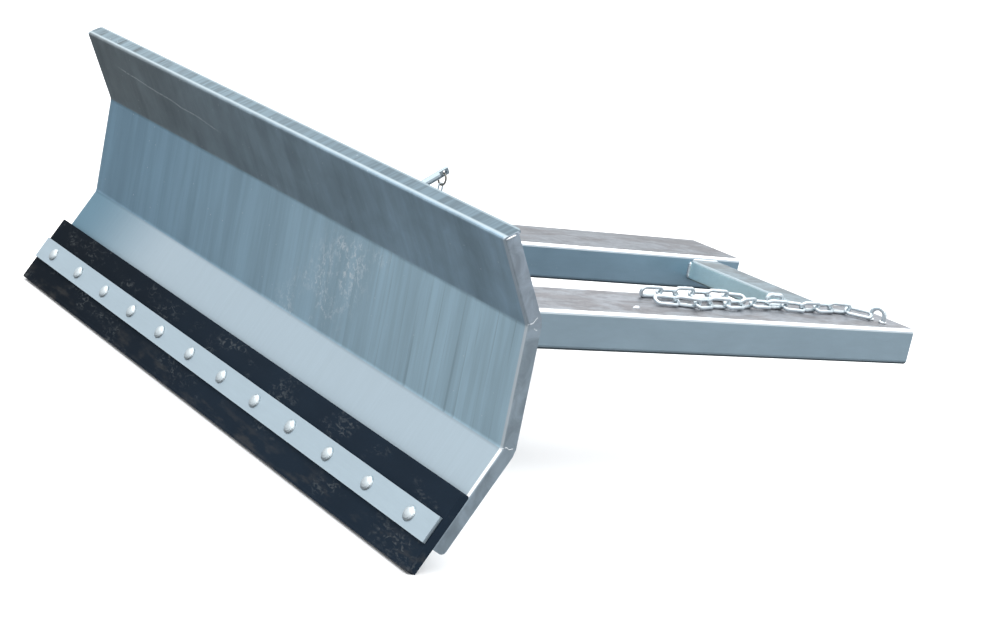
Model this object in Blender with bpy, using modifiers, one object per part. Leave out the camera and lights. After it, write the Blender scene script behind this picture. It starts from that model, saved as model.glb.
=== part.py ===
"""Snow plow blade carried on fork tines.

A folded blade with a bolted rubber edge slews on a kingpin in front of a welded fork frame, and a drop
pin locks its angle. Metres, +Z up: X runs along the blade, Y runs backwards along the fork sleeves, and
Z = 0 is the floor under the rubber edge. Parts are placed from the blade's lower bend.
"""

import math

import bmesh
import bpy
from mathutils import Matrix, Vector

# Blade sheet. Panel lengths are measured along the section, from bend to bend.
BLADE_LENGTH = 1.5
SHEET = 0.004
LEAN = math.radians(29.2)
PITCH = math.radians(1.3)
UPPER_PANEL = 0.138
MIDDLE_PANEL = 0.180
LOWER_PANEL = 0.170
SIDE_FLANGE = 0.024
TOP_FLANGE = 0.030
FOLD_RADIUS = 0.004
FLANGE_CORNER = 0.008

# Rubber edge and clamp bar. Distances run down the lower panel from the lower bend.
GAP = 0.0003
RUBBER_TOP = 0.081
RUBBER_BOTTOM = 0.215
RUBBER = 0.015
RUBBER_LENGTH = 1.506
RUBBER_CORNER = 0.004
WORN_EDGE = 0.002
BAR_TOP = 0.1265
BAR_BOTTOM = 0.1695
BAR = 0.005
BAR_END_GAP = 0.003

# M10 carriage bolts and flange nuts.
BOLT_COUNT = 12
BOLT_PITCH = 0.125
BOLT_RADIUS = 0.005
BOLT_HOLE_RADIUS = 0.0056
BOLT_HEAD_RADIUS = 0.0125
BOLT_HEAD_HEIGHT = 0.0055
BOLT_LENGTH = 0.040
NECK = 0.0104
NECK_HOLE = 0.0112
NUT_FLATS = 0.015
NUT_HEIGHT = 0.010
NUT_FLANGE_RADIUS = 0.0105
NUT_FLANGE = 0.0025

# Fork sleeves and cross members. Y is measured from the lower bend, Z too.
SLEEVE_WIDTH = 0.155
SLEEVE_HEIGHT = 0.070
SLEEVE_WALL = 0.005
SLEEVE_RADIUS = 0.008
SLEEVE_GAP = 0.334
SLEEVE_TOP = 0.0965
SLEEVE_FRONT = 0.210
SLEEVE_REAR = 1.228
TUBE_WIDTH = 0.080
TUBE_HEIGHT = 0.040
TUBE_WALL = 0.003
TUBE_RADIUS = 0.005
TUBE_TOP = 0.087
TUBE_REAR = 1.172
BEAM_FRONT = 0.280
BEAM_WIDTH = 0.040

# Slewing head: kingpin, sector plate and the two plates that hold the kingpin.
KINGPIN_Y = 0.110
KINGPIN_RADIUS = 0.012
KINGPIN_HEAD_FLATS = 0.036
KINGPIN_HEAD = 0.015
KINGPIN_NUT = 0.019
KINGPIN_THREAD_LEFT = 0.006
BUSH_RADIUS = 0.018
BUSH_BORE = 0.0125
BUSH_HEIGHT = 0.014
SPACER_RADIUS = 0.025
HEAD_PLATE = 0.010
HEAD_PLATE_NOSE = 0.040
HEAD_PLATE_REAR = 0.320
HEAD_PLATE_HALF_WIDTH = 0.262
SECTOR = 0.012
SECTOR_MIDDLE = 0.061
SECTOR_RADIUS = 0.162
SECTOR_HALF_ANGLE = math.radians(42)
SECTOR_HALF_WIDTH = 0.140
LOCK_RADIUS = 0.140
LOCK_HOLE_RADIUS = 0.0078
LOCK_ANGLES = [math.radians(angle) for angle in (-30, -15, 0, 15, 30)]
GUSSET = 0.008
GUSSET_X = 0.070
GUSSET_DEPTH = 0.060
GUSSET_TOP = 0.150
GUSSET_BOTTOM = 0.005
GUSSET_LIP = 0.010

# Lock pin, standing on the sector plate between two of its holes, with its ring and pull links.
PIN_RADIUS = 0.007
PIN_TIP = 0.0673
PIN_BEND_Z = 0.212
PIN_BEND_RADIUS = 0.014
PIN_LEAN = math.radians(57.5)
PIN_HANDLE = 0.070
PIN_END_ROUND = 0.003
EYE_BACK = 0.009
EYE_RADIUS = 0.0045
EYE_FLAT = 0.007
EYE_FLAT_LENGTH = 0.020
COLLAR_RADIUS = 0.013
COLLAR = 0.006
COLLAR_BORE = 0.0074
GUIDE_BORE = 0.0076
COLLAR_Z = 0.190
GUIDE_RADIUS = 0.014
GUIDE_TOP = 0.135
RING_RADIUS = 0.0105
RING_WIRE = 0.0018
PULL_WIRE = 0.0015
PULL_LENGTH = 0.028
PULL_WIDTH = 0.011

# Securing chain on one sleeve.
ANCHOR_X = 0.277
ANCHOR_Y = 1.168
ANCHOR_TURN = math.radians(-60)
ANCHOR_WIRE = 0.0045
ANCHOR_HALF_WIDTH = 0.013
ANCHOR_HEIGHT = 0.030
CHAIN_RADIUS = 0.008
LOWER_RUN = [(0.258, 1.148), (0.234, 1.112), (0.236, 1.060), (0.242, 1.005), (0.236, 0.950), (0.238, 0.875),
             (0.256, 0.805), (0.254, 0.755), (0.266, 0.705), (0.252, 0.665), (0.248, 0.622)]
RETURN_RUN = [(0.206, 0.637), (0.203, 0.690), (0.198, 0.770), (0.198, 0.830), (0.203, 0.885)]
CONNECTOR_PLACE = (0.220, 0.945)
CONNECTOR_LENGTH = 0.046
CONNECTOR_WIDTH = 0.028
CONNECTOR_WIRE = 0.004

# Colours as linear RGB, with roughness and metallic.
ZINC_SHEET = ((0.34, 0.40, 0.43), 0.42, 0.75)
ZINC_FRAME = ((0.38, 0.46, 0.52), 0.40, 0.75)
ZINC_BRIGHT = ((0.62, 0.68, 0.70), 0.32, 0.85)
BRONZE = ((0.45, 0.27, 0.10), 0.45, 0.90)
DARK_STEEL = ((0.10, 0.10, 0.10), 0.45, 0.80)
RUBBER_BLACK = ((0.012, 0.014, 0.020), 0.80, 0.00)

# The blade stands turned a little about the kingpin, with its +X end ahead.
REST_SLEW = math.radians(-5)

# How far the lower panel leans from upright, and how far the rubber's lower corner reaches ahead of the bend.
LOWER_LEAN = LEAN - PITCH
REACH_FORWARD = RUBBER_BOTTOM * math.sin(LOWER_LEAN) + (RUBBER + GAP) * math.cos(LOWER_LEAN)


def slewed(x, y):
    """Where a point given from the straight blade's lower bend comes to when the blade is turned to rest."""
    arm = y - KINGPIN_Y
    return Vector((x * math.cos(REST_SLEW) - arm * math.sin(REST_SLEW),
                   KINGPIN_Y + x * math.sin(REST_SLEW) + arm * math.cos(REST_SLEW)))


# Where the middle of the straight blade's lower bend is in the world, so that the part's box is centred over
# the floor's origin.
RIGHT_END = slewed(BLADE_LENGTH / 2, SIDE_FLANGE * math.cos(PITCH)).x
LEFT_END = slewed(-RUBBER_LENGTH / 2, RUBBER_CORNER * math.sin(LOWER_LEAN) - REACH_FORWARD).x
FRONT_END = slewed(RUBBER_LENGTH / 2 - RUBBER_CORNER, -REACH_FORWARD).y
BEND_X = -(RIGHT_END + LEFT_END) / 2
BEND_Y = -(FRONT_END + SLEEVE_REAR) / 2
BEND_Z = RUBBER_BOTTOM * math.cos(LOWER_LEAN) - WORN_EDGE

# Turns that carry a flat outline's plane (its x, y and thickness) into the world's.
LYING = Matrix.Identity(4)
ALONG_X = Matrix(((0, 0, 1, 0), (1, 0, 0, 0), (0, 1, 0, 0), (0, 0, 0, 1)))
ALONG_Y = Matrix.Rotation(math.radians(90), 4, "X")


def clear_scene():
    for item in list(bpy.data.objects):
        bpy.data.objects.remove(item, do_unlink=True)


def new_collection(name):
    collection = bpy.data.collections.new(name)
    bpy.context.scene.collection.children.link(collection)
    return collection


def make_material(name, look):
    colour, roughness, metallic = look
    material = bpy.data.materials.new(name)
    material.use_nodes = True
    shader = material.node_tree.nodes["Principled BSDF"]
    shader.inputs["Base Color"].default_value = (*colour, 1.0)
    shader.inputs["Roughness"].default_value = roughness
    shader.inputs["Metallic"].default_value = metallic
    return material


def world(x, y, z):
    """A point given from the lower bend, in world coordinates."""
    return Vector((x + BEND_X, y + BEND_Y, z + BEND_Z))


def add_axis(name, place, turn=0.0, parent=None):
    """An empty at a world place, turned about X."""
    axis = bpy.data.objects.new(name, None)
    axis.empty_display_size = 0.05
    PARTS.objects.link(axis)
    axis.location = place
    axis.rotation_euler.x = turn
    if parent:
        axis.parent = parent
        axis.location = place - parent.location
    return axis


def add_part(name, mesh, material, location=(0, 0, 0), parent=None, smooth=False):
    """A named part. Its location is in the parent's space."""
    part = bpy.data.objects.new(name, mesh)
    PARTS.objects.link(part)
    if not mesh.materials:
        mesh.materials.append(material)
    for face in mesh.polygons:
        face.use_smooth = smooth
    part.location = location
    part.parent = parent
    return part


def cut(part, cutter_mesh, name, location=(0, 0, 0), parent=None, operation="DIFFERENCE"):
    """Cuts a shape out of a part, or joins it on, with a Boolean modifier."""
    cutter = bpy.data.objects.new(name, cutter_mesh)
    CUTTERS.objects.link(cutter)
    cutter.location = location
    cutter.parent = parent
    cutter.hide_render = True
    cutter.display_type = "WIRE"
    modifier = part.modifiers.new(name, "BOOLEAN")
    modifier.operation = operation
    modifier.solver = "EXACT"
    modifier.object = cutter


def baked(part):
    """The mesh of a part with its modifiers applied; the part itself is removed."""
    bpy.context.view_layer.update()
    graph = bpy.context.evaluated_depsgraph_get()
    mesh = bpy.data.meshes.new_from_object(part.evaluated_get(graph), depsgraph=graph)
    bpy.data.objects.remove(part, do_unlink=True)
    return mesh


def finished(bm, name, turn=LYING):
    bm.transform(turn)
    mesh = bpy.data.meshes.new(name)
    bm.to_mesh(mesh)
    bm.free()
    return mesh


def box_mesh(name, low, high):
    """A box between two corners."""
    bm = bmesh.new()
    size = Vector(high) - Vector(low)
    middle = (Vector(high) + Vector(low)) / 2
    place = Matrix.Translation(middle) @ Matrix.Diagonal((*size, 1))
    bmesh.ops.create_cube(bm, size=1, matrix=place)
    return finished(bm, name)


def round_mesh(name, radius, low, high, segments=32, turn=LYING):
    """A cylinder, or a prism of few sides, about local Z between two heights."""
    bm = bmesh.new()
    place = Matrix.Translation((0, 0, (low + high) / 2))
    bmesh.ops.create_cone(bm, cap_ends=True, segments=segments, radius1=radius, radius2=radius,
                          depth=high - low, matrix=place)
    return finished(bm, name, turn)


def circle(centre, radius, segments=32):
    steps = [math.tau * i / segments for i in range(segments)]
    return [(centre[0] + radius * math.cos(a), centre[1] + radius * math.sin(a)) for a in steps]


def arc(centre, radius, start, end, steps):
    angles = [start + (end - start) * i / steps for i in range(steps + 1)]
    return [(centre[0] + radius * math.cos(a), centre[1] + radius * math.sin(a)) for a in angles]


def rounded_rectangle(low, high, radius, steps=4):
    """The outline of a rectangle with round corners, counter-clockwise."""
    corners = [(high[0] - radius, high[1] - radius), (low[0] + radius, high[1] - radius),
               (low[0] + radius, low[1] + radius), (high[0] - radius, low[1] + radius)]
    points = []
    for i, corner in enumerate(corners):
        points += arc(corner, radius, math.pi / 2 * i, math.pi / 2 * (i + 1), steps)
    return points


def racetrack(length, width, steps=8):
    """The centre line of a chain link: two half circles joined by straights, long in x."""
    radius = width / 2
    reach = length / 2 - radius
    right = arc((reach, 0), radius, -math.pi / 2, math.pi / 2, steps)
    left = arc((-reach, 0), radius, math.pi / 2, math.pi * 3 / 2, steps)
    return right + left


def mesh_of_curve(curve, name, turn=LYING):
    """A curve turned into a closed mesh, with its loose caps joined on."""
    holder = bpy.data.objects.new(name, curve)
    bpy.context.scene.collection.objects.link(holder)
    bpy.context.view_layer.update()
    graph = bpy.context.evaluated_depsgraph_get()
    mesh = bpy.data.meshes.new_from_object(holder.evaluated_get(graph))
    bm = bmesh.new()
    bm.from_mesh(mesh)
    bmesh.ops.remove_doubles(bm, verts=bm.verts, dist=0.00001)
    bmesh.ops.recalc_face_normals(bm, faces=bm.faces)
    bpy.data.objects.remove(holder, do_unlink=True)
    bpy.data.curves.remove(curve)
    bpy.data.meshes.remove(mesh)
    return finished(bm, name, turn)


def plate_mesh(name, outline, thickness, holes=(), turn=LYING):
    """A flat plate from a filled outline. Its thickness is centred on the outline's plane."""
    curve = bpy.data.curves.new(name, "CURVE")
    curve.dimensions = "2D"
    curve.fill_mode = "BOTH"
    curve.extrude = thickness / 2
    for loop in (outline, *holes):
        spline = curve.splines.new("POLY")
        spline.points.add(len(loop) - 1)
        for point, (x, y) in zip(spline.points, loop):
            point.co = (x, y, 0, 1)
        spline.use_cyclic_u = True
    return mesh_of_curve(curve, name, turn)


def rod_mesh(name, points, radius, closed=False, resolution=2, turn=LYING):
    """A round rod or wire along a line of points."""
    curve = bpy.data.curves.new(name, "CURVE")
    curve.dimensions = "3D"
    curve.bevel_depth = radius
    curve.bevel_resolution = resolution
    curve.use_fill_caps = not closed
    spline = curve.splines.new("POLY")
    spline.points.add(len(points) - 1)
    for point, place in zip(spline.points, points):
        point.co = (*place, 1)
    spline.use_cyclic_u = closed
    return mesh_of_curve(curve, name, turn)


def turned_mesh(name, profile, steps):
    """A turned shape: a profile of (radius, height) from top to bottom, swept by a Screw modifier."""
    bm = bmesh.new()
    points = [bm.verts.new((radius, 0, height)) for radius, height in profile]
    for first, second in zip(points, points[1:]):
        bm.edges.new((first, second))
    part = bpy.data.objects.new(name, finished(bm, name + "_profile"))
    bpy.context.scene.collection.objects.link(part)
    screw = part.modifiers.new("turn", "SCREW")
    screw.steps = steps
    screw.render_steps = steps
    screw.use_merge_vertices = True
    screw.merge_threshold = 0.00001
    screw.use_normal_calculate = True
    return baked(part)


def across_flats(flats):
    """The corner radius of a hexagon."""
    return flats / math.sqrt(3)


def panel_directions():
    """The section's three panels, top to bottom, as unit vectors in (y, z)."""
    return [Vector((math.sin(LEAN), -math.cos(LEAN))), Vector((0, -1)),
            Vector((-math.sin(LEAN), -math.cos(LEAN)))]


def behind(direction):
    """The unit vector that points out of a panel's back."""
    return Vector((-direction.y, direction.x))


def blade_bends():
    """The sheet's front face in section: top fold, upper bend, lower bend and bottom edge."""
    upper, middle, lower = panel_directions()
    lower_bend = Vector((0, 0))
    upper_bend = lower_bend - middle * MIDDLE_PANEL
    top_fold = upper_bend - upper * UPPER_PANEL
    bottom = lower_bend + lower * LOWER_PANEL
    return [top_fold, upper_bend, lower_bend, bottom]


def blade_outline():
    """The blade seen from its end, with its side flange and top flange."""
    bends = blade_bends()
    panels = panel_directions()
    backs = [behind(panel) for panel in panels]
    top_back = bends[0] + backs[0] * TOP_FLANGE
    under_top = top_back + panels[0] * SHEET
    outline = [top_back, *bends]
    for i in (2, 1, 0):
        outline.append(bends[i + 1] + backs[i] * SIDE_FLANGE)
        if i:
            outline.append(bends[i] + backs[i] * SIDE_FLANGE)
    outline.append(under_top + backs[0] * (SIDE_FLANGE - TOP_FLANGE))
    outline.append(under_top)
    return [tuple(point) for point in outline]


def hollow_outline():
    """The open space behind the sheet, between the flanges."""
    bends = blade_bends()
    panels = panel_directions()
    backs = [behind(panel) for panel in panels]
    past_bottom = 0.1
    past_back = 0.3
    mitre = SHEET / math.cos(LEAN / 2)
    start = bends[0] + backs[0] * SHEET + panels[0] * (SHEET + GAP)
    upper = bends[1] + (backs[0] + backs[1]).normalized() * mitre
    lower = bends[2] + (backs[1] + backs[2]).normalized() * mitre
    end = bends[3] + panels[2] * past_bottom + backs[2] * SHEET
    outline = (start, upper, lower, end, end + backs[2] * past_back, start + backs[0] * past_back)
    return [tuple(point) for point in outline]


def make_blade_sheet(parent):
    outline = blade_outline()
    front = [tuple(point) for point in blade_bends()]
    bm = bmesh.new()
    solid = plate_mesh("blade_block", outline, BLADE_LENGTH, turn=ALONG_X)
    bm.from_mesh(solid)
    bpy.data.meshes.remove(solid)

    def on_front(vertex):
        return any((Vector((vertex.co.y, vertex.co.z)) - Vector(point)).length < 1e-5 for point in front)

    def folded(edge):
        ends = edge.verts
        along_bottom = all((Vector((v.co.y, v.co.z)) - Vector(front[-1])).length < 1e-5 for v in ends)
        return on_front(ends[0]) and on_front(ends[1]) and not along_bottom

    top_back = (outline[0], outline[-1])
    bottom_back = (outline[len(front) + 1],)

    def lies_on(edge, points):
        return all(any((Vector((vertex.co.y, vertex.co.z)) - Vector(point)).length < 1e-5 for point in points)
                   for vertex in edge.verts)

    def is_short(edge):
        return abs(edge.verts[0].co.x - edge.verts[1].co.x) < SHEET

    bmesh.ops.dissolve_limit(bm, angle_limit=0.001, verts=bm.verts, edges=bm.edges)
    folds = [edge for edge in bm.edges if folded(edge)]
    bmesh.ops.bevel(bm, geom=folds, offset=FOLD_RADIUS, segments=3, profile=0.5, affect="EDGES")
    corners = [edge for edge in bm.edges
               if lies_on(edge, bottom_back) or (lies_on(edge, top_back) and is_short(edge))]
    bmesh.ops.bevel(bm, geom=corners, offset=FLANGE_CORNER, segments=3, profile=0.5, affect="EDGES")
    mesh = finished(bm, "blade_sheet")
    sheet = add_part("blade_sheet", mesh, make_material("blade_sheet", ZINC_SHEET), parent=parent)
    inside = BLADE_LENGTH - 2 * SHEET
    hollow = plate_mesh("blade_hollow", hollow_outline(), inside, turn=ALONG_X)
    cut(sheet, hollow, "blade_hollow", parent=parent)
    return sheet


def bolt_places():
    """Where the edge bolts stand: x along the blade, z down the lower panel."""
    middle = (BOLT_COUNT - 1) / 2
    height = -(BAR_TOP + BAR_BOTTOM) / 2
    return [((i - middle) * BOLT_PITCH, height) for i in range(BOLT_COUNT)]


def row_of(mesh_maker, name):
    """One mesh that holds a copy of a shape at every bolt place."""
    bm = bmesh.new()
    for x, z in bolt_places():
        shape = mesh_maker()
        shape.transform(Matrix.Translation((x, 0, z)))
        bm.from_mesh(shape)
        bpy.data.meshes.remove(shape)
    return finished(bm, name)


def round_hole():
    return round_mesh("hole", BOLT_HOLE_RADIUS, -0.03, 0.06, segments=16, turn=ALONG_Y)


def square_hole():
    half = NECK_HOLE / 2
    return box_mesh("square", (-half, -0.06, -half), (half, 0.02, half))


def bolt_mesh():
    """A carriage bolt: a domed head over z = 0, a square neck and a plain shank."""
    dome = math.radians(90)
    rings = 4
    profile = [(BOLT_HEAD_RADIUS * math.sin(dome * i / rings), BOLT_HEAD_HEIGHT * math.cos(dome * i / rings))
               for i in range(rings + 1)]
    profile += [(BOLT_RADIUS, 0), (BOLT_RADIUS, -BOLT_LENGTH), (0, -BOLT_LENGTH)]
    part = bpy.data.objects.new("bolt", turned_mesh("bolt_turned", profile, 20))
    bpy.context.scene.collection.objects.link(part)
    half = NECK / 2
    neck = box_mesh("bolt_neck", (-half, -half, -BAR), (half, half, BOLT_HEAD_HEIGHT * 0.2))
    cut(part, neck, "bolt_neck", operation="UNION")
    mesh = baked(part)
    mesh.transform(ALONG_Y)
    return mesh


def nut_mesh():
    """A hexagon flange nut whose flange bears at z = 0 and whose body runs to -z."""
    hexagon = round_mesh("nut_hexagon", across_flats(NUT_FLATS), -NUT_HEIGHT, -NUT_FLANGE / 5, 6)
    part = bpy.data.objects.new("nut", hexagon)
    bpy.context.scene.collection.objects.link(part)
    flange = round_mesh("nut_flange", NUT_FLANGE_RADIUS, -NUT_FLANGE, 0, 18)
    bore = round_mesh("nut_bore", BOLT_RADIUS + GAP, -0.02, 0.01, 16)
    cut(part, flange, "nut_flange", operation="UNION")
    cut(part, bore, "nut_bore")
    mesh = baked(part)
    mesh.transform(ALONG_Y)
    return mesh


def make_edge(panel, sheet):
    """The rubber edge, its clamp bar and their bolts, on the tilted lower panel."""
    half = RUBBER_LENGTH / 2
    bar_front = -GAP - RUBBER - GAP - BAR
    outline = rounded_rectangle((-half, -RUBBER_BOTTOM), (half, -RUBBER_TOP), RUBBER_CORNER)
    rubber = add_part("rubber_edge", plate_mesh("rubber_edge", outline, RUBBER, turn=ALONG_Y),
                      make_material("rubber_edge", RUBBER_BLACK), (0, -GAP - RUBBER / 2, 0), panel)
    bar = add_part("clamp_bar", box_mesh("clamp_bar", (BAR_END_GAP - half, bar_front, -BAR_BOTTOM),
                                         (half - BAR_END_GAP, bar_front + BAR, -BAR_TOP)),
                   make_material("clamp_bar", ZINC_FRAME), parent=panel)
    cut(rubber, row_of(round_hole, "rubber_holes"), "rubber_holes", parent=panel)
    cut(sheet, row_of(round_hole, "sheet_holes"), "sheet_holes", parent=panel)
    cut(bar, row_of(square_hole, "bar_holes"), "bar_holes", parent=panel)
    floor = box_mesh("floor", (-1, -1, -0.1), (1, 1, 0))
    cut(rubber, floor, "floor")

    bolts = bolt_mesh()
    nuts = nut_mesh()
    bolt_look = make_material("carriage_bolts", ZINC_BRIGHT)
    nut_look = make_material("flange_nuts", ZINC_BRIGHT)
    for i, (x, z) in enumerate(bolt_places()):
        label = f"{i + 1:02d}"
        add_part("carriage_bolt_" + label, bolts, bolt_look, (x, bar_front - GAP, z), panel, smooth=True)
        add_part("flange_nut_" + label, nuts, nut_look, (x, SHEET + GAP, z), panel)


def back_face(z):
    """Just behind the middle panel, at a height over the lower bend: the panel leans forward with the pitch."""
    return (SHEET + GAP - z * math.sin(PITCH)) / math.cos(PITCH)


def make_sector(pivot):
    """The sector plate behind the blade, its gussets and the kingpin's bush, placed from the kingpin."""
    back = back_face(SECTOR_MIDDLE - SECTOR / 2) - KINGPIN_Y
    sweep = arc((0, 0), SECTOR_RADIUS, math.pi / 2 - SECTOR_HALF_ANGLE, math.pi / 2 + SECTOR_HALF_ANGLE, 24)
    outline = [(-SECTOR_HALF_WIDTH, back), (SECTOR_HALF_WIDTH, back), *sweep]
    holes = [circle((0, 0), BUSH_RADIUS + GAP)]
    for angle in LOCK_ANGLES:
        centre = (LOCK_RADIUS * math.sin(angle), LOCK_RADIUS * math.cos(angle))
        holes.append(circle(centre, LOCK_HOLE_RADIUS, 24))
    plate = plate_mesh("sector_plate", outline, SECTOR, holes)
    add_part("sector_plate", plate, make_material("sector_plate", ZINC_FRAME),
             (0, 0, SECTOR_MIDDLE + BEND_Z), pivot)
    bush = plate_mesh("pivot_bush", circle((0, 0), BUSH_RADIUS), BUSH_HEIGHT, [circle((0, 0), BUSH_BORE)])
    add_part("pivot_bush", bush, make_material("pivot_bush", BRONZE), (0, 0, SECTOR_MIDDLE + BEND_Z), pivot)

    look = make_material("gussets", ZINC_FRAME)
    over = SECTOR_MIDDLE + SECTOR / 2 + GAP
    under = SECTOR_MIDDLE - SECTOR / 2 - GAP
    upper = [(back_face(over), over), (GUSSET_DEPTH, over), (GUSSET_DEPTH, over + GUSSET_LIP),
             (back_face(GUSSET_TOP) + GUSSET_LIP, GUSSET_TOP), (back_face(GUSSET_TOP), GUSSET_TOP)]
    lower = [(back_face(under), under), (back_face(GUSSET_BOTTOM), GUSSET_BOTTOM),
             (back_face(GUSSET_BOTTOM) + GUSSET_LIP, GUSSET_BOTTOM),
             (GUSSET_DEPTH, under - GUSSET_LIP), (GUSSET_DEPTH, under)]
    for level, outline in (("upper", upper), ("lower", lower)):
        mesh = plate_mesh("gusset_" + level, outline, GUSSET, turn=ALONG_X)
        for side, x in (("left", -GUSSET_X), ("right", GUSSET_X)):
            add_part(f"gusset_{level}_{side}", mesh, look, (x, -KINGPIN_Y, BEND_Z), pivot)


def make_head_plates():
    """The frame's two plates, above and below the sleeves, that carry the kingpin and guide the lock pin."""
    half = HEAD_PLATE_HALF_WIDTH
    corner = Vector((half, SLEEVE_FRONT - KINGPIN_Y))
    facing = math.atan2(corner.y, corner.x)
    tangent = facing - math.acos(HEAD_PLATE_NOSE / corner.length)
    nose = arc((0, KINGPIN_Y), HEAD_PLATE_NOSE, math.pi - tangent - math.tau, tangent, 16)
    outline = [*nose, (half, SLEEVE_FRONT), (half, HEAD_PLATE_REAR), (-half, HEAD_PLATE_REAR),
               (-half, SLEEVE_FRONT)]
    holes = [circle((0, KINGPIN_Y), BUSH_BORE), circle((0, KINGPIN_Y + LOCK_RADIUS), LOCK_HOLE_RADIUS, 24)]
    mesh = plate_mesh("head_plate", outline, HEAD_PLATE, holes)
    look = make_material("head_plates", ZINC_FRAME)
    upper = SLEEVE_TOP + GAP + HEAD_PLATE / 2
    lower = SLEEVE_TOP - SLEEVE_HEIGHT - GAP - HEAD_PLATE / 2
    add_part("upper_head_plate", mesh, look, world(0, 0, upper))
    add_part("lower_head_plate", mesh, look, world(0, 0, lower))


def make_kingpin():
    """The slewing bolt with its nut and the two spacers that centre the sector plate."""
    upper_face = SLEEVE_TOP + GAP + HEAD_PLATE
    lower_face = SLEEVE_TOP - SLEEVE_HEIGHT - GAP - HEAD_PLATE
    head_low = upper_face + GAP
    shank_low = lower_face - KINGPIN_NUT - KINGPIN_THREAD_LEFT
    look = make_material("kingpin", ZINC_BRIGHT)
    place = world(0, KINGPIN_Y, 0)
    shank_high = head_low + KINGPIN_HEAD / 3
    bolt = add_part("kingpin_bolt", round_mesh("kingpin_bolt", KINGPIN_RADIUS, shank_low, shank_high), look, place)
    head = round_mesh("kingpin_head", across_flats(KINGPIN_HEAD_FLATS), head_low, head_low + KINGPIN_HEAD, 6)
    cut(bolt, head, "kingpin_head", place, operation="UNION")
    hexagon = [(y, x) for x, y in circle((0, 0), across_flats(KINGPIN_HEAD_FLATS), 6)]
    nut = plate_mesh("kingpin_nut", hexagon, KINGPIN_NUT, [circle((0, 0), KINGPIN_RADIUS + GAP)])
    add_part("kingpin_nut", nut, look, world(0, KINGPIN_Y, lower_face - GAP - KINGPIN_NUT / 2))

    look = make_material("spacers", ZINC_FRAME)
    bush_top = SECTOR_MIDDLE + BUSH_HEIGHT / 2 + GAP
    bush_bottom = SECTOR_MIDDLE - BUSH_HEIGHT / 2 - GAP
    levels = {"upper_spacer": (bush_top, SLEEVE_TOP),
              "lower_spacer": (SLEEVE_TOP - SLEEVE_HEIGHT, bush_bottom)}
    for name, (low, high) in levels.items():
        ring = plate_mesh(name, circle((0, 0), SPACER_RADIUS), high - low, [circle((0, 0), BUSH_BORE)])
        add_part(name, ring, look, world(0, KINGPIN_Y, (low + high) / 2))


def make_sleeves():
    """The two open rectangular sleeves that the fork tines slide into."""
    half = (SLEEVE_WIDTH / 2, SLEEVE_HEIGHT / 2)
    inner = (half[0] - SLEEVE_WALL, half[1] - SLEEVE_WALL)
    outside = rounded_rectangle((-half[0], -half[1]), half, SLEEVE_RADIUS)
    inside = rounded_rectangle((-inner[0], -inner[1]), inner, SLEEVE_RADIUS - SLEEVE_WALL)
    mesh = plate_mesh("fork_sleeve", outside, SLEEVE_REAR - SLEEVE_FRONT, [inside], turn=ALONG_Y)
    look = make_material("fork_sleeves", ZINC_FRAME)
    x = (SLEEVE_GAP + SLEEVE_WIDTH) / 2
    y = (SLEEVE_FRONT + SLEEVE_REAR) / 2
    z = SLEEVE_TOP - SLEEVE_HEIGHT / 2
    add_part("fork_sleeve_left", mesh, look, world(-x, y, z))
    add_part("fork_sleeve_right", mesh, look, world(x, y, z))


def make_cross_members():
    """The rear cross tube and the front beam, both butted between the sleeves."""
    length = SLEEVE_GAP - 2 * GAP
    for name, width, height, y, z in (
        ("rear_cross_tube", TUBE_WIDTH, TUBE_HEIGHT, TUBE_REAR - TUBE_WIDTH / 2, TUBE_TOP - TUBE_HEIGHT / 2),
        ("front_beam", BEAM_WIDTH, SLEEVE_HEIGHT, BEAM_FRONT + BEAM_WIDTH / 2, SLEEVE_TOP - SLEEVE_HEIGHT / 2),
    ):
        half = (width / 2, height / 2)
        inner = (half[0] - TUBE_WALL, half[1] - TUBE_WALL)
        outside = rounded_rectangle((-half[0], -half[1]), half, TUBE_RADIUS)
        inside = rounded_rectangle((-inner[0], -inner[1]), inner, TUBE_RADIUS - TUBE_WALL)
        mesh = plate_mesh(name, outside, length, [inside], turn=ALONG_X)
        add_part(name, mesh, make_material(name, ZINC_FRAME), world(0, y, z))


def handle_point(along):
    """A point on the lock pin's handle, from the bend, in (y, z) on the pin's own axis."""
    return Vector((math.sin(PIN_LEAN), math.cos(PIN_LEAN))) * along + Vector((0, PIN_BEND_Z))


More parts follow.
